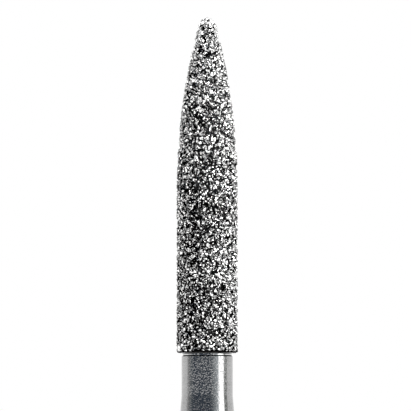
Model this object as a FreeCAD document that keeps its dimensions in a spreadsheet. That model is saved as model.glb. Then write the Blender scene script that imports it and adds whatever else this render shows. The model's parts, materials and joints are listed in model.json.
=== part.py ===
"""A diamond dental bur with a long rounded point, on a plain friction-grip shank.

The bur stands along +Z with its point up, and the origin is the centre of the shank's end face.
It has two pieces: a blank that is turned from one steel rod, and the coat that is plated on its
head, which is nickel with a single layer of diamond crystals held in it.
Lengths are in millimetres and angles in radians.
"""

import FreeCAD, Part
import enum
import math
import os
import random
from typing import NamedTuple

import Sketcher
from FreeCAD import Vector

SIZES = [
    ("shank_diameter", 1.6, "the size that a friction-grip chuck takes"),
    ("shank_length", 10.8, "from the end face to the start of the taper"),
    ("shank_end_round", 0.25, "radius round the end face"),
    ("taper_length", 0.6, "cone between the shank and the neck"),
    ("neck_diameter", 1.5, "plain steel below the head"),
    ("neck_length", 1.25, "from the taper to the head, with the relief groove"),
    ("relief_depth", 0.035, "depth of the groove round the neck, just under the head"),
    ("relief_width", 0.11, "height of that groove"),
    ("head_diameter", 1.8, "over the crystals"),
    ("head_length", 9.85, "from the head's lower edge to its tip"),
    ("point_length", 5.05, "the part of the head that curves in to the tip"),
    ("tip_radius", 0.27, "round end of the point, over the crystals"),
    ("bond_thickness", 0.08, "nickel between the steel and the valleys of the grit"),
    ("grit_stand_out", 0.07, "how far the tallest crystals stand out of the nickel"),
    ("grain_pitch", 0.155, "side of the square patch that one crystal takes up"),
]

# The relief groove's floor lies between these shares of its height.
GROOVE_FLOOR_LOW = 0.35
GROOVE_FLOOR_HIGH = 0.65

# How far a crystal stands out, as a share of grit_stand_out.
SHARP_CRYSTAL = (0.6, 1.0)
WORN_CRYSTAL = (0.1, 0.3)
LOWER_EDGE = (0.4, 0.9)
WORN_SHARE = 0.06

# How far a valley point strays from an even spacing, as a share of that spacing, and how
# unevenly a crystal's tip lies between its three valley points.
STRAY = 0.28
LOPSIDED = 0.45
FEWEST_IN_A_RING = 5
SEED = 1847

# Points and edges nearer than this are the same one.
TOUCHING = 1e-6

# Side and height of the equal-sided triangle that has the area of a unit square.
TRIANGLE_SIDE = math.sqrt(4 / math.sqrt(3))
TRIANGLE_HEIGHT = TRIANGLE_SIDE * math.sqrt(3) / 2

# Expressions that several constraints share.
COAT_THICKNESS = "(Sizes.bond_thickness + Sizes.grit_stand_out)"
SHANK_RADIUS = "Sizes.shank_diameter / 2"
NECK_RADIUS = "Sizes.neck_diameter / 2"
GROOVE_RADIUS = "(Sizes.neck_diameter / 2 - Sizes.relief_depth)"
CORE_RADIUS = f"(Sizes.head_diameter / 2 - {COAT_THICKNESS})"
CORE_TIP_RADIUS = f"(Sizes.tip_radius - {COAT_THICKNESS})"
NECK_BASE = "(Sizes.shank_length + Sizes.taper_length)"
HEAD_BASE = f"({NECK_BASE} + Sizes.neck_length)"
GROOVE_BASE = f"({HEAD_BASE} - Sizes.relief_width)"
POINT_BASE = f"({HEAD_BASE} + Sizes.head_length - Sizes.point_length)"
CORE_TOP = f"({HEAD_BASE} + Sizes.head_length - {COAT_THICKNESS})"


class Place(enum.IntEnum):
    """The numbers that stand for an end of a sketched line or arc, or for its centre."""

    START = 1
    END = 2
    CENTRE = 3


class Fixed(enum.IntEnum):
    """The numbers that stand for what every sketch has: its origin with the axis across, and the axis up."""

    ORIGIN = -1
    UP_AXIS = -2


class Outline:
    """The head's side view in the XZ plane, set in by a given amount from the crystals' tips.

    It is a straight side, a long arc and a round tip, each tangent to the next. Every outline
    that is set in from another shares its arc centres. A place on it is given by its way, the
    length of outline between the head's lower edge and the place.
    """

    def __init__(self, sizes, inset):
        full_radius = sizes.head_diameter / 2
        to_tip_centre = sizes.point_length - sizes.tip_radius
        narrowing = full_radius - sizes.tip_radius
        full_arc = (full_radius**2 - sizes.tip_radius**2 + to_tip_centre**2) / (2 * narrowing)

        self.radius = full_radius - inset
        self.base = sizes.shank_length + sizes.taper_length + sizes.neck_length
        self.side = sizes.head_length - sizes.point_length
        self.arc_radius = full_arc - inset
        self.arc_centre = Vector(full_radius - full_arc, 0, self.base + self.side)
        self.tip_radius = sizes.tip_radius - inset
        self.tip_centre = self.arc_centre + Vector(full_arc - full_radius, 0, to_tip_centre)
        self.arc_turn = math.asin(to_tip_centre / (full_arc - sizes.tip_radius))
        self.arc_end = self.side + self.arc_radius * self.arc_turn
        self.length = self.arc_end + self.tip_radius * (math.pi / 2 - self.arc_turn)

    def at(self, way):
        """The point of the outline at a way along it, and the direction that faces outwards there."""
        if way <= self.side:
            return Vector(self.radius, 0, self.base + way), Vector(1, 0, 0)
        if way <= self.arc_end:
            centre = self.arc_centre
            radius = self.arc_radius
            turn = (way - self.side) / radius
        else:
            centre = self.tip_centre
            radius = self.tip_radius
            turn = self.arc_turn + (way - self.arc_end) / radius
        outwards = Vector(math.cos(turn), 0, math.sin(turn))
        return centre + outwards * radius, outwards

    def around(self, way, angle, stand_out):
        """The point that stands out from the outline at a way along it, turned about Z."""
        point, outwards = self.at(way)
        return FreeCAD.Rotation(Vector(0, 0, 1), math.degrees(angle)).multVec(point + outwards * stand_out)

    def wire(self):
        """The side, the long arc and the round tip as one wire, from the base to the axis."""
        stops = [0, self.side, self.arc_end, self.length]
        edges = [Part.LineSegment(self.at(0)[0], self.at(self.side)[0]).toShape()]
        for low, high in zip(stops[1:], stops[2:]):
            points = [self.at(way)[0] for way in (low, (low + high) / 2, high)]
            edges.append(Part.Arc(*points).toShape())
        return Part.Wire(edges)


class Valley(NamedTuple):
    """A low point between crystals, and its way along the nickel's outline."""

    point: Vector
    way: float


def make_sheet(doc):
    """Writes the driving sizes into the spreadsheet, each with its alias and its meaning."""
    sheet = doc.addObject("Spreadsheet::Sheet", "Sizes")
    for row, (alias, value, meaning) in enumerate(SIZES, start=1):
        sheet.set(f"A{row}", alias)
        sheet.set(f"B{row}", str(value))
        sheet.set(f"C{row}", meaning)
        sheet.setAlias(f"B{row}", alias)
    doc.recompute()
    return sheet


def tie(sketch, kind, *places):
    """Adds a constraint that needs no size."""
    sketch.addConstraint(Sketcher.Constraint(kind, *places))


def drive(sketch, kind, *places, size):
    """Adds a constraint whose size follows an expression."""
    index = sketch.addConstraint(Sketcher.Constraint(kind, *places, sketch.evalExpression(size)))
    sketch.setExpression(f"Constraints[{index}]", size)


def pin(sketch, piece, end, across, up):
    """Ties one end of a line or arc to expressions for its radius and its height."""
    if across == "0":
        tie(sketch, "PointOnObject", piece, end, Fixed.UP_AXIS)
    else:
        drive(sketch, "DistanceX", Fixed.ORIGIN, Place.START, piece, end, size=across)
    if up == "0":
        tie(sketch, "PointOnObject", piece, end, Fixed.ORIGIN)
    else:
        drive(sketch, "DistanceY", Fixed.ORIGIN, Place.START, piece, end, size=up)


def add_chain(sketch, corners):
    """Draws lines from corner to corner, and returns the first and the last of them."""
    points = [Vector(sketch.evalExpression(across), sketch.evalExpression(up), 0) for across, up in corners]
    lines = [sketch.addGeometry(Part.LineSegment(a, b)) for a, b in zip(points, points[1:])]
    for line, (across, up) in zip(lines, corners):
        pin(sketch, line, Place.START, across, up)
    pin(sketch, lines[-1], Place.END, *corners[-1])
    for line, following in zip(lines, lines[1:]):
        tie(sketch, "Coincident", line, Place.END, following, Place.START)
    return lines[0], lines[-1]


def add_arc(sketch, centre, radius, start_turn, end_turn):
    """Draws an arc about a centre that is given in the XZ plane."""
    circle = Part.Circle(Vector(centre.x, centre.z, 0), Vector(0, 0, 1), radius)
    return sketch.addGeometry(Part.ArcOfCircle(circle, start_turn, end_turn))


def add_nose(sketch, side, core):
    """Draws the long arc and the round tip that follow the core's side, and returns the tip."""
    long_arc = add_arc(sketch, core.arc_centre, core.arc_radius, 0, core.arc_turn)
    round_tip = add_arc(sketch, core.tip_centre, core.tip_radius, core.arc_turn, math.pi / 2)
    tie(sketch, "Tangent", side, Place.END, long_arc, Place.START)
    tie(sketch, "Tangent", long_arc, Place.END, round_tip, Place.START)
    tie(sketch, "PointOnObject", round_tip, Place.CENTRE, Fixed.UP_AXIS)
    drive(sketch, "Radius", round_tip, size=CORE_TIP_RADIUS)
    pin(sketch, round_tip, Place.END, "0", CORE_TOP)
    return round_tip


def make_blank(doc, sheet):
    """The steel blank: end round, shank, taper, neck, relief groove and the head's core."""
    body = doc.addObject("PartDesign::Body", "SteelBlank")
    body.Label = "steel_blank"
    planes = {plane.Role: plane for plane in body.Origin.OriginFeatures}
    profile = body.newObject("Sketcher::SketchObject", "BlankProfile")
    profile.AttachmentSupport = [(planes["XZ_Plane"], "")]
    profile.MapMode = "FlatFace"

    floor_low = f"({GROOVE_BASE} + {GROOVE_FLOOR_LOW} * Sizes.relief_width)"
    floor_high = f"({GROOVE_BASE} + {GROOVE_FLOOR_HIGH} * Sizes.relief_width)"
    end_face, side = add_chain(profile, [
        ("0", "0"),
        (SHANK_RADIUS, "0"),
        (SHANK_RADIUS, "Sizes.shank_length"),
        (NECK_RADIUS, NECK_BASE),
        (NECK_RADIUS, GROOVE_BASE),
        (GROOVE_RADIUS, floor_low),
        (GROOVE_RADIUS, floor_high),
        (CORE_RADIUS, HEAD_BASE),
        (CORE_RADIUS, POINT_BASE),
    ])
    core = Outline(sheet, sheet.bond_thickness + sheet.grit_stand_out)
    round_tip = add_nose(profile, side, core)
    core_top = Vector(0, core.tip_centre.z + core.tip_radius, 0)
    axis = profile.addGeometry(Part.LineSegment(core_top, Vector()))
    tie(profile, "Coincident", round_tip, Place.END, axis, Place.START)
    tie(profile, "Coincident", axis, Place.END, end_face, Place.START)

    turning = body.newObject("PartDesign::Revolution", "Turning")
    turning.Profile = profile
    turning.ReferenceAxis = (profile, ["V_Axis"])
    turning.Angle = 360
    doc.recompute()

    end_round = body.newObject("PartDesign::Fillet", "EndRound")
    end_round.Base = (turning, [end_face_edge(turning.Shape)])
    end_round.setExpression("Radius", "Sizes.shank_end_round")
    body.Tip = end_round
    doc.recompute()
    return body


def end_face_edge(shape):
    """The name of the circle round the shank's end face."""
    for number, edge in enumerate(shape.Edges, start=1):
        if edge.Closed and edge.BoundBox.ZMax < TOUCHING:
            return f"Edge{number}"
    raise ValueError("the shank has no end face")


def valley_rings(nickel, grain_pitch, grit_stand_out, chance):
    """Rings of valley points up the head, staggered and uneven, with the lower edge's ring first."""
    rows = round(nickel.length / (grain_pitch * TRIANGLE_HEIGHT))
    rings = []
    for row in range(rows):
        way = nickel.length * row / rows
        girth = math.tau * nickel.at(way)[0].x
        count = round(max(FEWEST_IN_A_RING, girth / (grain_pitch * TRIANGLE_SIDE)))
        ring = []
        for place in range(count):
            turn = (place + row % 2 / 2 + chance.uniform(-STRAY, STRAY)) * math.tau / count
            if row == 0:
                edge = chance.uniform(*LOWER_EDGE) * grit_stand_out
                ring.append(Valley(nickel.around(way, turn, edge), way))
            else:
                strayed = way + chance.uniform(-STRAY, STRAY) * nickel.length / rows
                ring.append(Valley(nickel.around(strayed, turn, 0), strayed))
        rings.append(ring)
    return rings


def stitch(lower, upper):
    """The triangles between two rings of valley points, seen from outside against the clock."""
    triangles = []
    low = high = 0
    while low < len(lower) or high < len(upper):
        low_point = lower[low % len(lower)]
        high_point = upper[high % len(upper)]
        next_low = lower[(low + 1) % len(lower)]
        next_high = upper[(high + 1) % len(upper)]
        low_first = next_low.point.distanceToPoint(high_point.point)
        high_first = next_high.point.distanceToPoint(low_point.point)
        if high == len(upper) or (low < len(lower) and low_first <= high_first):
            triangles.append((low_point, next_low, high_point))
            low += 1
        else:
            triangles.append((low_point, next_high, high_point))
            high += 1
    return triangles


def crystal_tip(valleys, nickel, grit_stand_out, chance):
    """The tip of the crystal that stands between three valley points."""
    weights = [chance.uniform(1 - LOPSIDED, 1 + LOPSIDED) for _ in valleys]
    total = sum(weights)
    middle = Vector()
    way = 0
    for weight, valley in zip(weights, valleys):
        middle += valley.point * (weight / total)
        way += valley.way * (weight / total)
    height = WORN_CRYSTAL if chance.random() < WORN_SHARE else SHARP_CRYSTAL
    return nickel.around(way, math.atan2(middle.y, middle.x), chance.uniform(*height) * grit_stand_out)


def grit_facets(sheet, nickel):
    """The facets of all crystals, as corner triples that run against the clock from outside."""
    chance = random.Random(SEED)
    rings = valley_rings(nickel, sheet.grain_pitch, sheet.grit_stand_out, chance)
    facets = []
    for lower, upper in zip(rings, rings[1:]):
        for valleys in stitch(lower, upper):
            tip = crystal_tip(valleys, nickel, sheet.grit_stand_out, chance)
            corners = [valley.point for valley in valleys]
            facets += [(a, b, tip) for a, b in zip(corners, corners[1:] + corners[:1])]
    top_ring = [valley.point for valley in rings[-1]]
    top = nickel.around(nickel.length, 0, sheet.grit_stand_out)
    facets += [(a, b, top) for a, b in zip(top_ring, top_ring[1:] + top_ring[:1])]
    return facets


def grit_shell(facets):
    """One open shell of the facets, which share their corners and edges."""
    numbers = {}
    for facet in facets:
        for corner in facet:
            numbers.setdefault(tuple(corner), len(numbers))
    corners = [Vector(*corner) for corner in numbers]
    numbered = [tuple(numbers[tuple(corner)] for corner in facet) for facet in facets]
    shell = Part.Shape()
    shell.makeShapeFromMesh((corners, numbered), TOUCHING, False)
    return shell


def facing_inwards(face):
    """The face of a turned surface, with the side that it shows turned to the Z axis."""
    u_low, u_high, v_low, v_high = face.ParameterRange
    middle = (u_low + u_high) / 2, (v_low + v_high) / 2
    away = face.valueAt(*middle)
    away.z = 0
    return face.reversed() if face.normalAt(*middle).dot(away) > 0 else face


def make_coat(doc, sheet):
    """The coat: crystals outside, the core's own outline inside and a flat lower edge.

    The crystals are set in the nickel, so they are one solid with it.
    """
    core = Outline(sheet, sheet.bond_thickness + sheet.grit_stand_out)
    nickel = Outline(sheet, sheet.grit_stand_out)
    grit = grit_shell(grit_facets(sheet, nickel))
    seat = core.wire().revolve(Vector(), Vector(0, 0, 1), 360)

    lower_edges = [edge for edge in grit.Edges if edge.BoundBox.ZMax < core.base + TOUCHING]
    seat_edges = [edge for edge in seat.Edges if edge.BoundBox.ZMax < core.base + TOUCHING]
    rims = [Part.Wire(Part.__sortEdges__(edges)) for edges in (lower_edges, seat_edges)]
    lower_face = Part.makeFace(rims, "Part::FaceMakerBullseye").Faces[0]
    if lower_face.normalAt(0, 0).z > 0:
        lower_face = lower_face.reversed()

    faces = grit.Faces + [facing_inwards(face) for face in seat.Faces] + [lower_face]
    coat = doc.addObject("Part::Feature", "DiamondCoat")
    coat.Label = "diamond_coat"
    coat.Shape = Part.Solid(Part.Shell(faces))
    return coat


def check(doc, pieces):
    """Stops with a message if an object failed, or a piece isn't one valid solid."""
    for item in doc.Objects:
        if "Invalid" in item.State or "Error" in item.State:
            raise RuntimeError(f"{item.Label} failed: {item.State}")
    for piece in pieces:
        shape = piece.Shape
        if shape.isNull() or not shape.isValid() or len(shape.Solids) != 1 or shape.Volume <= 0:
            raise RuntimeError(f"{piece.Label} isn't one valid solid")


def main():
    """Builds the bur, checks it and writes one file for each piece."""
    doc = FreeCAD.newDocument("DentalBur")
    sheet = make_sheet(doc)
    pieces = [make_blank(doc, sheet), make_coat(doc, sheet)]
    doc.recompute()
    check(doc, pieces)

    os.makedirs("parts", exist_ok=True)
    for piece in pieces:
        piece.Shape.exportStep(f"parts/{piece.Label}.step")
        print(f"{piece.Label}: {piece.Shape.Volume:.3f} mm3, {len(piece.Shape.Faces)} faces")


if __name__ == "__main__":
    main()
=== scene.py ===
"""A diamond dental bur in a plain pale studio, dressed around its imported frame.

The bur stands along +Z with its point up. Its turned steel blank is one piece. Its coat is two:
the nickel bond on the head, and the diamond crystals that the nickel holds. Lengths are in
metres, except the camera's sensor, which is in millimetres. Angles are in radians, except
azimuths and elevations, which are in degrees.
"""

from __future__ import annotations

import json
import logging
import math
from dataclasses import dataclass
from enum import Enum
from typing import Any

import bmesh
import bpy
import numpy as np
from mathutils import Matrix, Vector

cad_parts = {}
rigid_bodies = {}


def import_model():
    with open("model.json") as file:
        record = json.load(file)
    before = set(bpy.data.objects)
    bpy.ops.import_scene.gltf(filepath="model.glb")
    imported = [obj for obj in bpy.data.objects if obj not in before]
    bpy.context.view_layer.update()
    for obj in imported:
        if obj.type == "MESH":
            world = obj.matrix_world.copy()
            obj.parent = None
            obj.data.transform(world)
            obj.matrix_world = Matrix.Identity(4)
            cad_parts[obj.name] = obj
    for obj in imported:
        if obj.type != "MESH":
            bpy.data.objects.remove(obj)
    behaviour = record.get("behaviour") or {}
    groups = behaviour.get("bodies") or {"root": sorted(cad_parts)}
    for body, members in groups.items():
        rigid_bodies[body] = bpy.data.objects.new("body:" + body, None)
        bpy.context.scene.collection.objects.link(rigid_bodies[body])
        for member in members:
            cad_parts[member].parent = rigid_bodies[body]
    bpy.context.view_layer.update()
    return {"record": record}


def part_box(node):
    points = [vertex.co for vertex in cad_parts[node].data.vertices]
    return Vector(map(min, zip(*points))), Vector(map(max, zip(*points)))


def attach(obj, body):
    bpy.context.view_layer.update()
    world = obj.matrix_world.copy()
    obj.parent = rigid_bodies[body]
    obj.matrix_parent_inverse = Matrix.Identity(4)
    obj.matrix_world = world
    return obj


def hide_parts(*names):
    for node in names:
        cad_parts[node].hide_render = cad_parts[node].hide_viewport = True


log = logging.getLogger("dental_bur")

MM = 0.001
BODY = "root"
TONE = "tone"
FACET = "facet_tone"
WHITE = (1.0, 1.0, 1.0)
MIDDLE = (0.5, 0.5, 0.5)

Colour = tuple[float, float, float, float]
Profile = list[tuple[float, float]]
Triple = tuple[float, float, float]


class Arithmetic(Enum):
    """The sums that an expression on node sockets can hold."""

    PLUS = "ADD"
    MINUS = "SUBTRACT"
    TIMES = "MULTIPLY"
    OVER = "DIVIDE"
    LARGER = "MAXIMUM"
    SMALLER = "MINIMUM"
    TURN = "ARCTAN2"


class InputKind(Enum):
    """The kinds of value that a geometry tree takes from its modifier."""

    NUMBER = "NodeSocketFloat"
    COUNT = "NodeSocketInt"
    OBJECT = "NodeSocketObject"
    COLLECTION = "NodeSocketCollection"


class Draw(Enum):
    """What is drawn by chance for each crystal, as the number that is added to the seed."""

    SIZE = 1
    STAND_OUT = 2
    SHAPE = 3
    TURN = 4
    STRETCH = 5
    TONE = 6
    FACET_TONE = 7
    TALL = 8


class Signal:
    """A node's output, which Python expressions can add, subtract, multiply and divide."""

    def __init__(self, wiring: Wiring, socket: bpy.types.NodeSocket) -> None:
        """Wraps an output socket.

        Args:
            wiring: the tree that the socket is in.
            socket: the output socket.
        """
        self.wiring = wiring
        self.socket = socket

    def other(self, name: str | int) -> Signal:
        """Another output of the same node."""
        return Signal(self.wiring, self.socket.node.outputs[name])

    def __add__(self, other: Signal | float) -> Signal:
        """self + other."""
        return self.wiring.sum(Arithmetic.PLUS, self, other)

    def __radd__(self, other: float) -> Signal:
        """other + self."""
        return self.wiring.sum(Arithmetic.PLUS, other, self)

    def __sub__(self, other: Signal | float) -> Signal:
        """self - other."""
        return self.wiring.sum(Arithmetic.MINUS, self, other)

    def __rsub__(self, other: float) -> Signal:
        """other - self."""
        return self.wiring.sum(Arithmetic.MINUS, other, self)

    def __mul__(self, other: Signal | float) -> Signal:
        """self * other."""
        return self.wiring.sum(Arithmetic.TIMES, self, other)

    def __rmul__(self, other: float) -> Signal:
        """other * self."""
        return self.wiring.sum(Arithmetic.TIMES, other, self)

    def __truediv__(self, other: Signal | float) -> Signal:
        """self / other."""
        return self.wiring.sum(Arithmetic.OVER, self, other)

    def __rtruediv__(self, other: float) -> Signal:
        """other / self."""
        return self.wiring.sum(Arithmetic.OVER, other, self)


class Wiring:
    """Adds nodes to one node tree and links them."""

    def __init__(self, tree: bpy.types.NodeTree) -> None:
        """Empties a tree.

        Args:
            tree: the tree of a material, a world or a modifier.
        """
        self.tree = tree
        tree.nodes.clear()

    def node(
        self,
        kind: str,
        inputs: dict[str | int, Any] | None = None,
        out: str | int = 0,
        **settings: Any,
    ) -> Signal | None:
        """Adds one node of any kind.

        Args:
            kind: the node's type.
            inputs: values or signals, by the name or number of their sockets.
            out: the output that is returned, by name or number.
            **settings: the node's own settings, or the stops of a colour ramp.

        Returns:
            The node's output, or None where it has none.
        """
        made = self.tree.nodes.new(kind)
        for name, value in settings.items():
            if name == "stops":
                self._set_stops(made.color_ramp, value)
            else:
                setattr(made, name, value)
        for name, value in (inputs or {}).items():
            if isinstance(value, Signal):
                self.tree.links.new(value.socket, made.inputs[name])
            else:
                made.inputs[name].default_value = value
        return Signal(self, made.outputs[out]) if len(made.outputs) else None

    @staticmethod
    def _set_stops(ramp: bpy.types.ColorRamp, stops: list[tuple[float, Colour]]) -> None:
        """Replaces a ramp's stops.

        Args:
            ramp: the colour ramp.
            stops: positions from 0 to 1, in order, each with its colour.
        """
        while len(ramp.elements) > 1:
            ramp.elements.remove(ramp.elements[0])
        for number, (position, colour) in enumerate(stops):
            stop = ramp.elements[0] if number == 0 else ramp.elements.new(position)
            stop.position = position
            stop.color = colour

    def sum(self, kind: Arithmetic, first: Signal | float, second: Signal | float) -> Signal:
        """Adds a Math node for two numbers."""
        return self.node("ShaderNodeMath", {0: first, 1: second}, operation=kind.value)

    def ramp(
        self, value: Signal, low: float, high: float, to_low: float = 0.0, to_high: float = 1.0
    ) -> Signal:
        """Maps a number smoothly from one range to another, and clamps it.

        Args:
            value: the number.
            low: where the range starts.
            high: where it ends.
            to_low: the result at low.
            to_high: the result at high.

        Returns:
            The mapped number.
        """
        inputs = {0: value, 1: low, 2: high, 3: to_low, 4: to_high}
        return self.node("ShaderNodeMapRange", inputs, interpolation_type="SMOOTHSTEP")

    def noise(self, where: Signal, size: float, detail: float = 2.0, roughness: float = 0.5) -> Signal:
        """Adds a noise texture.

        Args:
            where: the coordinates.
            size: how far its lumps are apart.
            detail: how many finer octaves it has.
            roughness: how strong those are.

        Returns:
            A number around one half.
        """
        inputs = {"Vector": where, "Scale": 1 / size, "Detail": detail, "Roughness": roughness}
        return self.node("ShaderNodeTexNoise", inputs)

    def mix(self, share: Signal | float, first: Signal | Colour, second: Signal | Colour) -> Signal:
        """Mixes two colours.

        Args:
            share: how much of the second one there is.
            first: the first colour.
            second: the second colour.

        Returns:
            The mixed colour.
        """
        return self.node("ShaderNodeMix", {0: share, 6: first, 7: second}, out=2, data_type="RGBA")

    def height(self, where: Signal) -> Signal:
        """How high a place is."""
        return self.node("ShaderNodeSeparateXYZ", {0: where}, out="Z")

    def rays(self) -> tuple[Signal, Signal]:
        """Tells apart the rays that ask for a colour.

        Returns:
            Two numbers: 1 for the camera's rays, and 1 for those sent on by a shiny or clear surface.
        """
        path = self.node("ShaderNodeLightPath")
        sent_on = self.sum(Arithmetic.LARGER, path.other("Is Glossy Ray"), path.other("Is Transmission Ray"))
        return path, sent_on

    def scaled(self, vector: Signal, factor: Signal | float) -> Signal:
        """A vector times a number."""
        return self.node("ShaderNodeVectorMath", {0: vector, "Scale": factor}, operation="SCALE")

    def openness(self, reach: float, samples: int = 8) -> Signal:
        """How open a place is to its surroundings, from 0 in a deep hollow to 1; the finishes paint shade by
        it.

        Args:
            reach: how far away what stands around it counts.
            samples: how many rays find that out.

        Returns:
            The number.
        """
        return self.node("ShaderNodeAmbientOcclusion", {"Distance": reach}, out="AO", samples=samples)

    def vector(self, kind: Arithmetic, first: Signal, second: Signal | Triple) -> Signal:
        """Adds a Vector Math node for two vectors."""
        return self.node("ShaderNodeVectorMath", {0: first, 1: second}, operation=kind.value)

    def chips(self, where: Signal, size: float) -> Signal:
        """Splits space into small flat-sided chips, each with a colour of its own by chance."""
        return self.node("ShaderNodeTexVoronoi", {"Vector": where, "Scale": 1 / size}, out="Color")

    def chipped(self, chips: Signal, tilt: float) -> Signal:
        """The normal of a surface that is broken into flat chips, each leaning its own way.

        Args:
            chips: the chips' colours.
            tilt: how far they lean.

        Returns:
            The normal.
        """
        lean = self.scaled(self.vector(Arithmetic.MINUS, chips, MIDDLE), tilt)
        leaning = self.vector(Arithmetic.PLUS, self.node("ShaderNodeNewGeometry", out="Normal"), lean)
        return self.node("ShaderNodeVectorMath", {0: leaning}, operation="NORMALIZE")

    def bump(self, height: Signal, normal: Signal | None = None) -> Signal:
        """The normal of a bumpy surface.

        Args:
            height: how high each place is, in metres.
            normal: the normal of the surface that the bumps are on, if it isn't the mesh's own.

        Returns:
            The normal.
        """
        inputs = {"Height": height, "Distance": 1.0}
        if normal is not None:
            inputs["Normal"] = normal
        return self.node("ShaderNodeBump", inputs)


class GeometryWiring(Wiring):
    """Adds nodes to a geometry tree, and turns a piece into what the tree makes of it."""

    def __init__(self, name: str) -> None:
        """Makes the tree with its geometry in and out.

        Args:
            name: the tree's name.
        """
        super().__init__(bpy.data.node_groups.new(name, "GeometryNodeTree"))
        for way in ("INPUT", "OUTPUT"):
            self.tree.interface.new_socket("Geometry", in_out=way, socket_type="NodeSocketGeometry")
        self.entry = self.tree.nodes.new("NodeGroupInput")
        self.values: dict[str, Any] = {}

    @property
    def geometry(self) -> Signal:
        """The mesh that the modifier starts from."""
        return Signal(self, self.entry.outputs["Geometry"])

    def given(self, name: str, kind: InputKind, value: Any) -> Signal:
        """Adds a named input.

        Args:
            name: its name.
            kind: its kind.
            value: what the modifier sets it to.

        Returns:
            The input's signal.
        """
        made = self.tree.interface.new_socket(name, in_out="INPUT", socket_type=kind.value)
        self.values[made.identifier] = value
        return Signal(self, self.entry.outputs[name])

    def random(self, low: Signal | float, high: Signal | float, seed: Signal) -> Signal:
        """A random number for each point."""
        return self.node("FunctionNodeRandomValue", {2: low, 3: high, 8: seed}, out=1, data_type="FLOAT")

    def random_vector(self, low: float, high: float, seed: Signal) -> Signal:
        """Three random numbers for each point."""
        inputs = {0: (low,) * 3, 1: (high,) * 3, 8: seed}
        return self.node("FunctionNodeRandomValue", inputs, out=0, data_type="FLOAT_VECTOR")

    def random_count(self, low: int, high: int, seed: Signal) -> Signal:
        """A random whole number for each point."""
        return self.node("FunctionNodeRandomValue", {4: low, 5: high, 8: seed}, out=2, data_type="INT")

    def stored(self, geometry: Signal, name: str, value: Signal, domain: str) -> Signal:
        """Stores a number by name on each part of a geometry.

        Args:
            geometry: the geometry.
            name: the attribute's name.
            value: the number.
            domain: the kind of part that has a number of its own.

        Returns:
            The geometry with the attribute.
        """
        inputs = {"Geometry": geometry, "Name": name, "Value": value}
        return self.node("GeometryNodeStoreNamedAttribute", inputs, data_type="FLOAT", domain=domain)

    def above(self, value: Signal, limit: float) -> Signal:
        """True where a number is above a limit."""
        return self.node("FunctionNodeCompare", {0: value, 1: limit}, operation="GREATER_THAN")

    def distance_to(self, target: Signal) -> Signal:
        """How far each point is from an object, with the nearest place as output Position."""
        solid = self.node("GeometryNodeObjectInfo", {"Object": target}, out="Geometry")
        return self.node("GeometryNodeProximity", {"Geometry": solid}, out="Distance")

    def bake(self, piece: bpy.types.Object, made: Signal, material: bpy.types.Material) -> None:
        """Ends the tree with real meshes in their material, and turns a piece into a plain mesh of them.

        Args:
            piece: the piece that has the starting mesh.
            made: what the tree has made.
            material: the material of all of it.
        """
        real = self.node("GeometryNodeRealizeInstances", {"Geometry": made})
        dressed = self.node("GeometryNodeSetMaterial", {"Geometry": real, "Material": material})
        self.node("NodeGroupOutput", {0: dressed})
        modifier = piece.modifiers.new(self.tree.name, "NODES")
        modifier.node_group = self.tree
        for identifier, value in self.values.items():
            modifier[identifier] = value
        depsgraph = bpy.context.evaluated_depsgraph_get()
        mesh = bpy.data.meshes.new_from_object(piece.evaluated_get(depsgraph), depsgraph=depsgraph)
        mesh.name = piece.name
        piece.modifiers.remove(modifier)
        piece.data = mesh


def grey(level: float, tint: Triple = WHITE) -> Colour:
    """A grey with an optional tint.

    Args:
        level: its lightness, linear.
        tint: factors for red, green and blue.

    Returns:
        Its colour.
    """
    return (level * tint[0], level * tint[1], level * tint[2], 1.0)


def spaced(start: float, end: float, step: float) -> list[float]:
    """Numbers from start to end, both included, at most a step apart."""
    return [float(value) for value in np.linspace(start, end, math.ceil((end - start) / step) + 1)]


def turned_mesh(name: str, profile: Profile, around: int) -> bpy.types.Mesh:
    """Turns a profile about the Z axis into a closed mesh.

    Args:
        name: the mesh's name.
        profile: radius and height of each point. The first and last are on the axis, and the
            solid is on the left of the way from first to last.
        around: how many points there are in each ring.

    Returns:
        The mesh, with its faces outwards.
    """
    turns = [math.tau * place / around for place in range(around)]
    corners = [(0.0, 0.0, profile[0][1])]
    for radius, height in profile[1:-1]:
        corners += [(radius * math.cos(turn), radius * math.sin(turn), height) for turn in turns]
    corners.append((0.0, 0.0, profile[-1][1]))
    last_ring = 1 + (len(profile) - 3) * around
    faces = []
    for place in range(around):
        beside = (place + 1) % around
        faces.append((0, 1 + beside, 1 + place))
        for low in range(1, last_ring, around):
            high = low + around
            faces.append((low + place, low + beside, high + beside, high + place))
        faces.append((last_ring + place, last_ring + beside, len(corners) - 1))
    mesh = bpy.data.meshes.new(name)
    mesh.from_pydata(corners, [], faces)
    mesh.shade_smooth()
    return mesh


def add_object(name: str, data: bpy.types.ID) -> bpy.types.Object:
    """Puts a mesh, lamp or camera into the scene at the origin.

    Args:
        name: the object's name.
        data: the mesh, lamp or camera.

    Returns:
        The object.
    """
    made = bpy.data.objects.new(name, data)
    bpy.context.scene.collection.objects.link(made)
    return made


def hand_over(piece: bpy.types.Object, node: str) -> bpy.types.Object:
    """Makes a piece ride on the bur and stand for one of its nodes.

    Args:
        piece: the finished piece.
        node: the node that it stands for.

    Returns:
        The piece.
    """
    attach(piece, BODY)
    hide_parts(node)
    return piece


def new_material(name: str) -> tuple[bpy.types.Material, Wiring]:
    """Makes an empty material.

    Args:
        name: its name.

    Returns:
        The material and its wiring.
    """
    material = bpy.data.materials.new(name)
    material.use_nodes = True
    return material, Wiring(material.node_tree)


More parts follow.
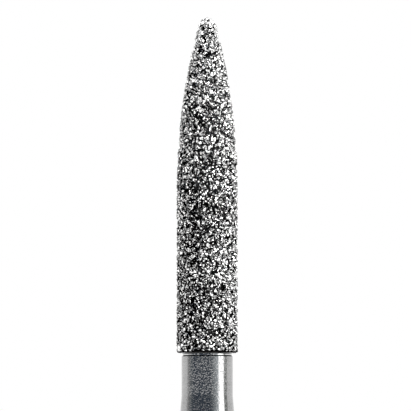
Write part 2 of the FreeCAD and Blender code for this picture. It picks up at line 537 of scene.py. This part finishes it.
def dress(
    wiring: Wiring, colour: Signal, roughness: Signal | float, normal: Signal, edge: float = 1.0
) -> None:
    """Ends a material that shines as metal does.

    Args:
        wiring: the material's wiring.
        colour: its base colour.
        roughness: its roughness.
        normal: its normal.
        edge: how strongly it reflects at a grazing angle.
    """
    inputs = {"Base Color": colour, "Metallic": 1.0, "Roughness": roughness, "Normal": normal}
    inputs["Specular Tint"] = grey(edge)
    shader = wiring.node("ShaderNodeBsdfPrincipled", inputs)
    wiring.node("ShaderNodeOutputMaterial", {"Surface": shader})


@dataclass(frozen=True)
class GroundSteel:
    """The blank's finish: ground stainless steel with fine rings and small shallow pits, with painted shade
    in the pits and a painted highlight and painted shade in the relief groove.
    """

    lightness: float = 0.43
    darkest: float = 0.85
    lightest: float = 1.15
    roughness: float = 0.05
    roughest: float = 1.8
    tone_range: tuple[float, float] = (0.2, 0.8)
    pit_size: float = 0.05 * MM
    pit_depth: float = 0.0016 * MM
    pit_edges: tuple[float, float] = (0.48, 0.72)
    painted_pit_lightness: float = 0.3
    painted_pit_shade: float = 0.45
    flattening: Triple = (0.02, 0.02, 1.0)
    ring_height: float = 0.012 * MM
    ring_depth: float = 0.00004 * MM
    band_height: float = 0.16 * MM
    band_shade: float = 1.0
    cloud_size: float = 0.5 * MM
    relief_blend: float = 0.002 * MM
    groove_painted_light_and_shade: tuple[tuple[float, float], ...] = ((0.0, 0.4), (0.2, 1.5), (0.66, 1.5), (0.72, 0.1))

    def material(self, relief_base: float, relief_top: float) -> bpy.types.Material:
        """Builds the material.

        Args:
            relief_base: the height at which the relief groove starts.
            relief_top: the height at which it ends.

        Returns:
            The material, with a painted highlight on the groove's floor and painted shade at the groove's
            two edges.
        """
        material, wiring = new_material("ground_steel")
        where = wiring.node("ShaderNodeTexCoord", out="Object")
        level = wiring.height(where)
        flat = wiring.node("ShaderNodeMapping", {"Vector": where, "Scale": self.flattening})
        pitted = wiring.ramp(wiring.noise(where, self.pit_size, detail=3, roughness=0.6), *self.pit_edges)
        rings = wiring.noise(flat, self.ring_height, detail=1)
        bands = wiring.noise(flat, self.band_height, detail=3, roughness=0.7)
        clouds = wiring.noise(where, self.cloud_size, detail=2)
        tone = clouds + (bands - 0.5) * self.band_shade
        colour = wiring.mix(tone, grey(self.lightness * self.darkest), grey(self.lightness * self.lightest))
        # Painted shade: the pits are drawn darker, standing in for the shade that falls in them.
        colour = wiring.mix(pitted * self.painted_pit_shade, colour, grey(self.lightness * self.painted_pit_lightness))
        # Painted highlight and painted shade in the relief groove: dark at its two edges, lighter on its
        # floor.
        up_the_groove = wiring.ramp(level, relief_base, relief_top)
        stops = [(share, grey(self.lightness * shade)) for share, shade in self.groove_painted_light_and_shade]
        relief = wiring.node("ShaderNodeValToRGB", {0: up_the_groove}, stops=stops)
        in_groove = wiring.ramp(level, relief_base - self.relief_blend, relief_base)
        colour = wiring.mix(in_groove, colour, relief)
        roughness = wiring.ramp(tone, *self.tone_range, self.roughness, self.roughness * self.roughest)
        normal = wiring.bump(rings * self.ring_depth - pitted * self.pit_depth)
        dress(wiring, colour, roughness, normal)
        return material


@dataclass(frozen=True)
class PaintedRimShade:
    """Painted shade: a dark band along the coat's lower edge, where shadow falls into the crevices at the
    edge.
    """

    height: float = 0.08 * MM
    strength: float = 1.6

    def shade(self, wiring: Wiring, where: Signal, base: float) -> Signal:
        """How much painted shade a place gets from the band.

        Args:
            wiring: the material's wiring.
            where: the place.
            base: the height of the edge.

        Returns:
            What comes off the place's openness.
        """
        return wiring.ramp(wiring.height(where), base, base + self.height, self.strength, 0.0)


@dataclass(frozen=True)
class DarkNickel:
    """The bond's finish: dull electroplated nickel, with painted shade in the hollows between crystals."""

    dull: float = 0.03
    bright: float = 0.15
    crevice_shade: float = 0.002
    roughness: float = 0.2
    lump_size: float = 0.06 * MM
    lump_depth: float = 0.02 * MM
    lump_edges: tuple[float, float] = (0.35, 0.7)
    lump_shade: float = 0.8
    rim: PaintedRimShade = PaintedRimShade()
    crevice_reach: float = 0.08 * MM
    dark_below: float = 0.7
    light_above: float = 0.85
    edge: float = 0.4

    def material(self, base: float) -> bpy.types.Material:
        """Builds the material.

        Args:
            base: the height of the coat's lower edge.

        Returns:
            The material, with painted shade in the hollows and at that edge, where it is darkest.
        """
        material, wiring = new_material("dark_nickel")
        where = wiring.node("ShaderNodeTexCoord", out="Object")
        lumps = wiring.noise(where, self.lump_size, detail=3, roughness=0.6)
        skin = wiring.mix(wiring.ramp(lumps, *self.lump_edges), grey(self.dull), grey(self.bright))
        # Painted shade: ambient occlusion turns the hollows between crystals almost black.
        open_to_light = wiring.openness(self.crevice_reach) + (lumps - 0.5) * self.lump_shade
        # Painted shade along the coat's lower edge.
        open_to_light = open_to_light - self.rim.shade(wiring, where, base)
        lit = wiring.ramp(open_to_light, self.dark_below, self.light_above)
        colour = wiring.mix(lit, grey(self.crevice_shade), skin)
        dress(wiring, colour, self.roughness, wiring.bump(lumps * self.lump_depth), self.edge)
        return material


@dataclass(frozen=True)
class NickelledDiamond:
    """The crystals' finish: hard bright facets, with painted shade where they go down into the nickel."""

    dull: float = 0.5
    bright: float = 1.0
    tint: Triple = (1.0, 0.995, 0.985)
    crevice_shade: float = 0.001
    smooth: float = 0.05
    rough: float = 0.2
    turning_axis: Triple = (0.48, 0.6, 0.64)
    stretch: float = 0.6
    chip_size: float = 0.035 * MM
    chip_tilt: float = 1.2
    grain_size: float = 0.035 * MM
    grain_depth: float = 0.002 * MM
    facet_shade: float = 1.5
    grain_shade: float = 4.5
    crevice_reach: float = 0.06 * MM
    dark_below: float = 0.76
    light_above: float = 0.79
    rim: PaintedRimShade = PaintedRimShade()
    worn_length: float = 5.5 * MM
    point_wear_and_light: float = 0.45
    cap_from: float = 1.0 * MM
    cap_full: float = 0.4 * MM
    cap_wear_and_light: float = 0.45
    edge: float = 0.4

    def material(self, base: float, top: float) -> bpy.types.Material:
        """Builds the material.

        Args:
            base: the height of the coat's lower edge.
            top: the height of its point.

        Returns:
            The material, with painted shade in the crevices and darkest at the edge, and lighter towards the
            point, partly from wear and partly from painted light.
        """
        material, wiring = new_material("nickelled_diamond")
        where = wiring.node("ShaderNodeTexCoord", out="Object")
        tone = wiring.node("ShaderNodeAttribute", out="Fac", attribute_name=TONE)
        facet_tone = wiring.node("ShaderNodeAttribute", out="Fac", attribute_name=FACET)
        own_way = {"Vector": where, "Axis": self.turning_axis, "Angle": tone * math.tau}
        turned = wiring.node("ShaderNodeVectorRotate", own_way)
        streaky = wiring.node("ShaderNodeMapping", {"Vector": turned, "Scale": (1.0, self.stretch, 1.0)})
        grain = wiring.noise(streaky, self.grain_size, detail=2, roughness=0.6)
        chips = wiring.chips(streaky, self.chip_size)
        chip_tone = wiring.node("ShaderNodeSeparateColor", {0: chips})
        shine = (tone + facet_tone) / 2
        facet = wiring.mix(shine, grey(self.dull), grey(self.bright, self.tint))
        uneven = (grain - 0.5) * self.grain_shade + (chip_tone - 0.5) * self.facet_shade
        level = wiring.height(where)
        # Lighter towards the point: partly wear, partly painted light falling from above.
        worn_and_lit = wiring.ramp(level, top - self.worn_length, top) * self.point_wear_and_light
        worn_and_lit = worn_and_lit + wiring.ramp(level, top - self.cap_from, top - self.cap_full) * self.cap_wear_and_light
        # Painted shade: ambient occlusion darkens the crevices between crystals.
        open_to_light = wiring.openness(self.crevice_reach) + uneven + worn_and_lit
        # Painted shade along the coat's lower edge.
        open_to_light = open_to_light - self.rim.shade(wiring, where, base)
        lit = wiring.ramp(open_to_light, self.dark_below, self.light_above)
        colour = wiring.mix(lit, grey(self.crevice_shade), facet)
        roughness = wiring.ramp(facet_tone, 0.0, 1.0, self.rough, self.smooth)
        normal = wiring.bump(grain * self.grain_depth, wiring.chipped(chips, self.chip_tilt))
        dress(wiring, colour, roughness, normal, self.edge)
        return material


@dataclass(frozen=True)
class HeadOutline:
    """The head's side view: a straight side, a long arc and a round tip, each tangent to the next."""

    base: float
    top: float
    radius: float = 0.9 * MM
    point_length: float = 5.05 * MM
    tip_radius: float = 0.27 * MM

    @property
    def middle(self) -> Vector:
        """The middle of the head, on the axis."""
        return Vector((0.0, 0.0, (self.base + self.top) / 2))

    def profile(self, inset: float, step: float) -> Profile:
        """The outline, set in by a given amount, from the base up to the axis.

        Args:
            inset: how far it is set in from the crystals' tips.
            step: the greatest distance between points.

        Returns:
            Radius and height of each point.
        """
        reach = self.point_length - self.tip_radius
        narrowing = self.radius - self.tip_radius
        arc = (self.radius**2 - self.tip_radius**2 + reach**2) / (2 * narrowing)
        bend = self.top - self.point_length
        turn = math.asin(reach / (arc - self.tip_radius))
        points = [(self.radius - inset, height) for height in spaced(self.base, bend, step)]
        for centre_radius, centre_height, radius, start, end in (
            (self.radius - arc, bend, arc - inset, 0.0, turn),
            (0.0, bend + reach, self.tip_radius - inset, turn, math.pi / 2),
        ):
            for angle in spaced(start, end, step / radius)[1:]:
                sideways, upwards = radius * math.cos(angle), radius * math.sin(angle)
                points.append((centre_radius + sideways, centre_height + upwards))
        points[-1] = (0.0, self.top - inset)
        return points


@dataclass
class SteelBlank:
    """The blank: shank, taper, neck, relief groove and the head's core, turned from one rod."""

    head: HeadOutline
    shank_radius: float
    finish: GroundSteel = GroundSteel()
    end_round: float = 0.25 * MM
    round_steps: int = 10
    taper_length: float = 0.6 * MM
    neck_radius: float = 0.75 * MM
    neck_length: float = 1.25 * MM
    relief_depth: float = 0.035 * MM
    relief_width: float = 0.11 * MM
    relief_floor: tuple[float, float] = (0.35, 0.65)
    edge_width: float = 0.015 * MM
    coat_thickness: float = 0.15 * MM
    around: int = 192
    step: float = 0.25 * MM
    sharp_edge: float = math.radians(15)

    def profile(self) -> Profile:
        """The half section.

        Returns:
            Radius and height of each point, from the middle of the end face to the top of the core.
        """
        neck_base = self.head.base - self.neck_length
        shank_top = neck_base - self.taper_length
        relief_base = self.head.base - self.relief_width
        groove = self.neck_radius - self.relief_depth
        end_radius = self.shank_radius - self.end_round
        points = [(0.0, 0.0), (end_radius / 2, 0.0)]
        for turn in spaced(-math.pi / 2, 0.0, math.pi / 2 / self.round_steps):
            sideways, upwards = self.end_round * math.cos(turn), self.end_round * (1 + math.sin(turn))
            points.append((end_radius + sideways, upwards))
        shank = [*spaced(self.end_round, shank_top - self.edge_width, self.step)[1:], shank_top]
        neck = [neck_base, *spaced(neck_base + self.edge_width, relief_base, self.step)]
        points += [(self.shank_radius, height) for height in shank]
        points += [(self.neck_radius, height) for height in neck]
        points += [(groove, relief_base + share * self.relief_width) for share in self.relief_floor]
        return points + self.head.profile(self.coat_thickness, self.step)

    def build(self) -> bpy.types.Object:
        """Builds and dresses the blank.

        Returns:
            The piece.
        """
        mesh = turned_mesh("turned_blank", self.profile(), self.around)
        mesh.set_sharp_from_angle(angle=self.sharp_edge)
        mesh.materials.append(self.finish.material(self.head.base - self.relief_width, self.head.base))
        return hand_over(add_object("turned_blank", mesh), "steel_blank")


@dataclass
class NickelBond:
    """The plated nickel: a lumpy skin round the head's core, with a flat lower edge."""

    head: HeadOutline
    blank: bpy.types.Object
    finish: DarkNickel = DarkNickel()
    inset: float = 0.1 * MM
    thickness: float = 0.05 * MM
    lump_size: float = 0.11 * MM
    lump_height: float = 0.014 * MM
    around: int = 144
    step: float = 0.04 * MM
    inner_step: float = 0.25 * MM

    def shell(self) -> Profile:
        """The skin's section: down its inner side and up its outer side."""
        inner = self.head.profile(self.inset + self.thickness, self.inner_step)
        return inner[::-1] + self.head.profile(self.inset, self.step)

    def build(self) -> bpy.types.Object:
        """Builds and dresses the bond.

        Returns:
            The piece.
        """
        piece = add_object("nickel_bond", turned_mesh("nickel_bond", self.shell(), self.around))
        wiring = GeometryWiring("nickel_lumps")
        size = wiring.given("Lump Size", InputKind.NUMBER, self.lump_size)
        height = wiring.given("Lump Height", InputKind.NUMBER, self.lump_height)
        blank = wiring.given("Steel Blank", InputKind.OBJECT, self.blank)
        place = wiring.node("GeometryNodeInputPosition")
        normal = wiring.node("GeometryNodeInputNormal")
        lumps = wiring.node("ShaderNodeTexNoise", {"Vector": wiring.scaled(place, 1 / size), "Scale": 1.0})
        outside = wiring.above(wiring.distance_to(blank), self.thickness / 2)
        off_edge = wiring.ramp(wiring.height(place), self.head.base, self.head.base + self.lump_size)
        offset = wiring.scaled(normal, (lumps - 0.5) * height * off_edge * 2)
        inputs = {"Geometry": wiring.geometry, "Selection": outside, "Offset": offset}
        lumpy = wiring.node("GeometryNodeSetPosition", inputs)
        wiring.bake(piece, lumpy, self.finish.material(self.head.base))
        return hand_over(piece, "diamond_coat")


@dataclass
class DiamondGrit:
    """The crystals: blocky, of several shapes, scattered evenly and half sunk in the nickel."""

    head: HeadOutline
    bond: NickelBond
    blank: bpy.types.Object
    finish: NickelledDiamond = NickelledDiamond()
    spacing: float = 0.075 * MM
    smallest: float = 0.048 * MM
    largest: float = 0.065 * MM
    stand_out: tuple[float, float] = (0.65, 1.15)
    tall_share: float = 0.5
    tall_growth: float = 0.2
    tall_extra: float = 0.75
    point_height: float = 0.25 * MM
    squattest: float = 0.7
    longest: float = 1.25
    sunk: float = 0.75
    clearance: float = 0.0015 * MM
    candidates: float = 4.0
    shapes: int = 14
    block: float = 1.5
    shortest_edge: float = 0.02
    cuts: tuple[int, int] = (2, 5)
    cut_depths: tuple[float, float] = (0.35, 0.75)
    seed: int = 11

    def crystal(self, number: int, draws: np.random.Generator) -> bpy.types.Mesh:
        """One crystal of about unit radius: a block whose corners are cut off by flat facets.

        Args:
            number: the number in its name.
            draws: where its random facets come from.

        Returns:
            Its closed mesh.
        """
        form = bmesh.new()
        bmesh.ops.create_cube(form, size=self.block)
        for _ in range(draws.integers(*self.cuts)):
            facing = Vector(draws.normal(size=3)).normalized()
            depth = draws.uniform(*self.cut_depths)
            whole = form.verts[:] + form.edges[:] + form.faces[:]
            cut = bmesh.ops.bisect_plane(
                form, geom=whole, plane_co=facing * depth, plane_no=facing, clear_outer=True
            )
            rim = [part for part in cut["geom_cut"] if isinstance(part, bmesh.types.BMEdge)]
            if rim:
                bmesh.ops.edgeloop_fill(form, edges=rim)
        bmesh.ops.dissolve_degenerate(form, dist=self.shortest_edge, edges=form.edges[:])
        bmesh.ops.recalc_face_normals(form, faces=form.faces[:])
        mesh = bpy.data.meshes.new(f"crystal_{number}")
        form.to_mesh(mesh)
        form.free()
        return mesh

    def crystal_box(self) -> bpy.types.Collection:
        """Makes all the shapes of crystal.

        Returns:
            A collection of them, outside the scene.
        """
        draws = np.random.default_rng(self.seed)
        box = bpy.data.collections.new("crystal_shapes")
        for number in range(self.shapes):
            mesh = self.crystal(number, draws)
            box.objects.link(bpy.data.objects.new(mesh.name, mesh))
        return box

    def build(self) -> bpy.types.Object:
        """Builds and dresses the crystals.

        Returns:
            The piece.
        """
        skin = [(0.0, self.head.base), *self.head.profile(self.bond.inset, self.bond.step)]
        piece = add_object("diamond_crystals", turned_mesh("skin", skin, self.bond.around))
        box = self.crystal_box()
        wiring = GeometryWiring("crystals_on_nickel")
        spacing = wiring.given("Spacing", InputKind.NUMBER, self.spacing)
        smallest = wiring.given("Smallest", InputKind.NUMBER, self.smallest)
        largest = wiring.given("Largest", InputKind.NUMBER, self.largest)
        seed = wiring.given("Seed", InputKind.COUNT, self.seed)
        blank = wiring.given("Steel Blank", InputKind.OBJECT, self.blank)
        shapes = wiring.given("Crystal Shapes", InputKind.COLLECTION, box)

        points = self.scattered(wiring, spacing, seed)
        tall = wiring.above(wiring.random(0.0, 1.0, seed + Draw.TALL.value), 1 - self.tall_share)
        size = wiring.random(smallest, largest, seed + Draw.SIZE.value) * (tall * self.tall_growth + 1)
        crystals = self.grown(wiring, self.set_in(wiring, points, size, tall, seed), shapes, size, seed)
        kept_in = self.levelled(wiring, self.toned(wiring, crystals, seed), blank)
        wiring.bake(piece, kept_in, self.finish.material(self.head.base, self.head.top))
        bpy.data.batch_remove([*box.objects, box])
        return hand_over(piece, "diamond_coat")

    def scattered(self, wiring: GeometryWiring, spacing: Signal, seed: Signal) -> Signal:
        """Scatters points evenly over the nickel, but not over its flat lower edge.

        Args:
            wiring: the tree.
            spacing: the least distance between two points.
            seed: the seed.

        Returns:
            The points.
        """
        level = wiring.height(wiring.node("GeometryNodeInputPosition"))
        inputs = {
            "Mesh": wiring.geometry,
            "Selection": wiring.above(level, self.head.base + self.bond.step / 4),
            "Distance Min": spacing,
            "Density Max": self.candidates / (spacing * spacing),
            "Seed": seed,
        }
        return wiring.node("GeometryNodeDistributePointsOnFaces", inputs, distribute_method="POISSON")

    def set_in(
        self, wiring: GeometryWiring, points: Signal, size: Signal, tall: Signal, seed: Signal
    ) -> Signal:
        """Moves the points to the crystals' middles, so that some crystals stand out further.

        Args:
            wiring: the tree.
            points: the points on the nickel.
            size: the crystals' sizes.
            tall: true for the tall ones.
            seed: the seed.

        Returns:
            The moved points.
        """
        level = wiring.height(wiring.node("GeometryNodeInputPosition"))
        at_point = wiring.ramp(level, self.head.top - self.bond.inset - self.point_height, self.head.top)
        share = wiring.random(*self.stand_out, seed + Draw.STAND_OUT.value)
        share = share + (tall + at_point) * self.tall_extra
        top = wiring.sum(Arithmetic.SMALLER, share * size, self.bond.inset)
        outwards = wiring.scaled(points.other("Normal"), top - size * self.sunk)
        return wiring.node("GeometryNodeSetPosition", {"Geometry": points, "Offset": outwards})

    def grown(
        self, wiring: GeometryWiring, points: Signal, shapes: Signal, size: Signal, seed: Signal
    ) -> Signal:
        """Puts a crystal at each point, turned and stretched by chance.

        Args:
            wiring: the tree.
            points: the points.
            shapes: the collection of shapes.
            size: the crystals' sizes.
            seed: the seed.

        Returns:
            The crystals, as instances.
        """
        choices = {"Collection": shapes, "Separate Children": True, "Reset Children": True}
        stretch = wiring.random_vector(self.squattest, self.longest, seed + Draw.STRETCH.value)
        inputs = {
            "Points": points,
            "Instance": wiring.node("GeometryNodeCollectionInfo", choices),
            "Pick Instance": True,
            "Instance Index": wiring.random_count(0, self.shapes - 1, seed + Draw.SHAPE.value),
            "Rotation": wiring.random_vector(0.0, math.tau, seed + Draw.TURN.value),
            "Scale": wiring.scaled(stretch, size),
        }
        return wiring.node("GeometryNodeInstanceOnPoints", inputs)

    def toned(self, wiring: GeometryWiring, crystals: Signal, seed: Signal) -> Signal:
        """Makes the crystals real, with flat facets and a tone for each crystal and each facet.

        Args:
            wiring: the tree.
            crystals: the crystals, as instances.
            seed: the seed.

        Returns:
            The crystals, as real meshes with both tones as attributes.
        """
        tone = wiring.random(0.0, 1.0, seed + Draw.TONE.value)
        facet_tone = wiring.random(0.0, 1.0, seed + Draw.FACET_TONE.value)
        toned = wiring.stored(crystals, TONE, tone, domain="INSTANCE")
        real = wiring.node("GeometryNodeRealizeInstances", {"Geometry": toned})
        real = wiring.stored(real, FACET, facet_tone, domain="FACE")
        return wiring.node("GeometryNodeSetShadeSmooth", {"Geometry": real, "Shade Smooth": False})

    def levelled(self, wiring: GeometryWiring, crystals: Signal, blank: Signal) -> Signal:
        """Keeps all crystals within the coat.

        Args:
            wiring: the tree.
            crystals: the crystals, as real meshes.
            blank: the steel blank.

        Returns:
            The crystals, with each corner that stood out pressed back to the coat's outside.
        """
        coat = self.bond.inset + self.bond.thickness - self.clearance
        place = wiring.node("GeometryNodeInputPosition")
        distance = wiring.distance_to(blank)
        foot = distance.other("Position")
        outwards = wiring.vector(Arithmetic.MINUS, place, foot)
        pressed = wiring.scaled(outwards, wiring.sum(Arithmetic.SMALLER, coat / distance, 1.0))
        lowest = (-1.0, -1.0, self.head.base + self.clearance)
        moved = wiring.vector(Arithmetic.LARGER, wiring.vector(Arithmetic.PLUS, foot, pressed), lowest)
        return wiring.node("GeometryNodeSetPosition", {"Geometry": crystals, "Position": moved})


def direction(azimuth: float, elevation: float) -> Vector:
    """The way from the bur to a lamp or the camera.

    Args:
        azimuth: how far round the bur it is from the photograph's camera, positive on its right.
        elevation: how far above level it is.

    Returns:
        A vector of length 1.
    """
    round_z, up = math.radians(azimuth), math.radians(elevation)
    return Vector((math.sin(round_z) * math.cos(up), -math.cos(round_z) * math.cos(up), math.sin(up)))


@dataclass(frozen=True)
class Band:
    """One edge in the ring of light and dark that stands around the bur."""

    azimuth: float
    level: float
    tint: Triple = WHITE


@dataclass(frozen=True)
class Lamp:
    """A soft square lamp that is aimed at the head."""

    name: str
    azimuth: float
    elevation: float
    size: float
    power: float
    distance: float = 0.3

    def hang(self, target: Vector) -> None:
        """Adds the lamp.

        Args:
            target: where it is aimed.
        """
        lamp = bpy.data.lights.new(self.name, "AREA")
        lamp.size = self.size
        lamp.energy = self.power
        way = direction(self.azimuth, self.elevation)
        made = add_object(self.name, lamp)
        made.location = target + way * self.distance
        made.rotation_euler = way.to_track_quat("Z", "Y").to_euler()
        made.visible_camera = False


@dataclass(frozen=True)
class Studio:
    """The room: a white backdrop, a dark front under a hood, a strip of light, lamps and a pale floor.

    An azimuth is counted round the bur from the side of the photograph's camera, and is positive
    on that camera's right.
    """

    bands: tuple[Band, ...] = (
        Band(-180, 1.0),
        Band(-110, 1.0),
        Band(-92, 0.35),
        Band(-76, 0.19, (0.9, 1.0, 1.1)),
        Band(-61, 0.088, (0.8, 1.0, 1.3)),
        Band(14, 0.088, (0.8, 1.0, 1.3)),
        Band(23, 0.21, (0.88, 1.0, 1.1)),
        Band(51, 0.75, (0.93, 1.0, 1.04)),
        Band(55, 3.3),
        Band(77, 3.3),
        Band(82, 0.3, (0.96, 1.0, 0.95)),
        Band(97, 0.3, (0.96, 1.0, 0.95)),
        Band(104, 1.0),
        Band(180, 1.0),
    )
    hood_azimuth: float = -10.0
    hood_edges: tuple[float, float] = (50.0, 62.0)
    hood_rise: tuple[float, float] = (0.12, 0.35)
    overhead: float = 0.7
    overhead_rise: tuple[float, float] = (0.75, 0.95)
    backdrop_edges: tuple[float, float] = (96.0, 108.0)
    floor_colour: float = 0.75
    floor_size: float = 2.0
    floor_fade: tuple[float, float] = (0.06, 0.25)
    lamps: tuple[Lamp, ...] = (
        Lamp("key_lamp", azimuth=72, elevation=50, size=0.25, power=1.4),
        Lamp("fill_lamp", azimuth=-110, elevation=45, size=0.3, power=0.6),
    )

    @property
    def brightest(self) -> float:
        """The brightest band's level. A ramp's colours end at 1, so they are shares of this."""
        return max(band.level for band in self.bands)

    @staticmethod
    def aside(wiring: Wiring, azimuth: Signal, edges: tuple[float, float]) -> Signal:
        """How far a way is to either side, from 0 at one edge to 1 at the other.

        Args:
            wiring: the world's wiring.
            azimuth: the way's signal, which is in radians.
            edges: the azimuths of the two edges.

        Returns:
            The number.
        """
        return wiring.ramp(azimuth * azimuth, *(math.radians(edge) ** 2 for edge in edges))

    def world(self) -> None:
        """Paints the backdrop and the ring of light around the bur."""
        world = bpy.data.worlds.new("studio")
        bpy.context.scene.world = world
        world.use_nodes = True
        wiring = Wiring(world.node_tree)
        way = wiring.node("ShaderNodeSeparateXYZ", {0: wiring.node("ShaderNodeTexCoord")})
        azimuth = wiring.sum(Arithmetic.TURN, way, 0.0 - way.other("Y"))
        stops = [
            (0.5 + band.azimuth / 360, grey(band.level / self.brightest, band.tint)) for band in self.bands
        ]
        ring = wiring.node("ShaderNodeValToRGB", {0: azimuth / math.tau + 0.5}, stops=stops)
        up = wiring.ramp(way.other("Z"), *self.overhead_rise)
        steep = wiring.ramp(way.other("Z"), *self.hood_rise)
        front = 1.0 - self.aside(wiring, azimuth - math.radians(self.hood_azimuth), self.hood_edges)
        ring = wiring.mix(front * steep, ring, grey(0.0))
        room = wiring.mix(up, ring, grey(self.overhead / self.brightest))
        camera_ray, sent_on = wiring.rays()
        behind = self.aside(wiring, azimuth, self.backdrop_edges) * (1.0 - up)
        white = wiring.sum(Arithmetic.LARGER, camera_ray, sent_on * behind)
        backdrop = wiring.node("ShaderNodeBackground", {"Color": grey(1.0), "Strength": 1.0})
        light = wiring.node("ShaderNodeBackground", {"Color": room, "Strength": self.brightest})
        seen = wiring.node("ShaderNodeMixShader", {0: white, 1: light, 2: backdrop})
        wiring.node("ShaderNodeOutputWorld", {"Surface": seen})

    def floor(self) -> None:
        """Lays the pale floor, which turns as white as the backdrop away from the bur."""
        half = self.floor_size / 2
        mesh = bpy.data.meshes.new("floor")
        corners = [(-half, -half, 0), (half, -half, 0), (half, half, 0), (-half, half, 0)]
        mesh.from_pydata(corners, [], [(0, 1, 2, 3)])
        material, wiring = new_material("pale_floor")
        where = wiring.node("ShaderNodeTexCoord", out="Object")
        away = wiring.node("ShaderNodeVectorMath", {0: where}, out=1, operation="LENGTH")
        white = wiring.ramp(away, *self.floor_fade) * wiring.sum(Arithmetic.LARGER, *wiring.rays())
        pale = wiring.node("ShaderNodeBsdfDiffuse", {"Color": grey(self.floor_colour)})
        glow = wiring.node("ShaderNodeEmission", {"Color": grey(1.0), "Strength": 1.0})
        top = wiring.node("ShaderNodeMixShader", {0: white, 1: pale, 2: glow})
        clear = wiring.node("ShaderNodeBsdfTransparent")
        below = wiring.node("ShaderNodeNewGeometry", out="Backfacing")
        shader = wiring.node("ShaderNodeMixShader", {0: below, 1: top, 2: clear})
        wiring.node("ShaderNodeOutputMaterial", {"Surface": shader})
        mesh.materials.append(material)
        add_object("floor", mesh)

    def light(self, target: Vector) -> None:
        """Hangs the lamps.

        Args:
            target: where they are aimed.
        """
        for lamp in self.lamps:
            lamp.hang(target)


@dataclass(frozen=True)
class Camera:
    """The photograph's camera: a long lens that looks slightly up at the head."""

    target: Triple = (-0.05 * MM, 0.0, 16.965 * MM)
    elevation: float = -3.0
    distance: float = 0.2
    seen_height: float = 12.03 * MM
    sensor: float = 36.0

    def build(self) -> None:
        """Adds the camera and makes it the scene's own."""
        data = bpy.data.cameras.new("camera")
        data.sensor_width = self.sensor
        data.lens = self.sensor * self.distance / self.seen_height
        data.clip_start = self.distance / 100
        data.clip_end = self.distance * 100
        way = direction(0.0, self.elevation)
        made = add_object("camera", data)
        made.location = Vector(self.target) + way * self.distance
        made.rotation_euler = way.to_track_quat("Z", "Y").to_euler()
        bpy.context.scene.camera = made


def main() -> None:
    """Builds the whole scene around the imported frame."""
    logging.basicConfig(level=logging.INFO, format="%(name)s: %(message)s")
    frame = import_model()
    bpy.context.scene.view_settings.view_transform = "Standard"
    Camera().build()

    coat_low, coat_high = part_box("diamond_coat")
    head = HeadOutline(base=coat_low.z, top=coat_high.z)
    blank = SteelBlank(head, shank_radius=frame["record"]["mounts"][0]["dims"]["r_mm"] * MM).build()
    bond = NickelBond(head, blank)
    pieces = [blank, bond.build(), DiamondGrit(head, bond, blank).build()]
    for piece in pieces:
        log.info("%s has %d faces", piece.name, len(piece.data.polygons))

    studio = Studio()
    studio.world()
    studio.floor()
    studio.light(head.middle)


if __name__ == "__main__":
    main()
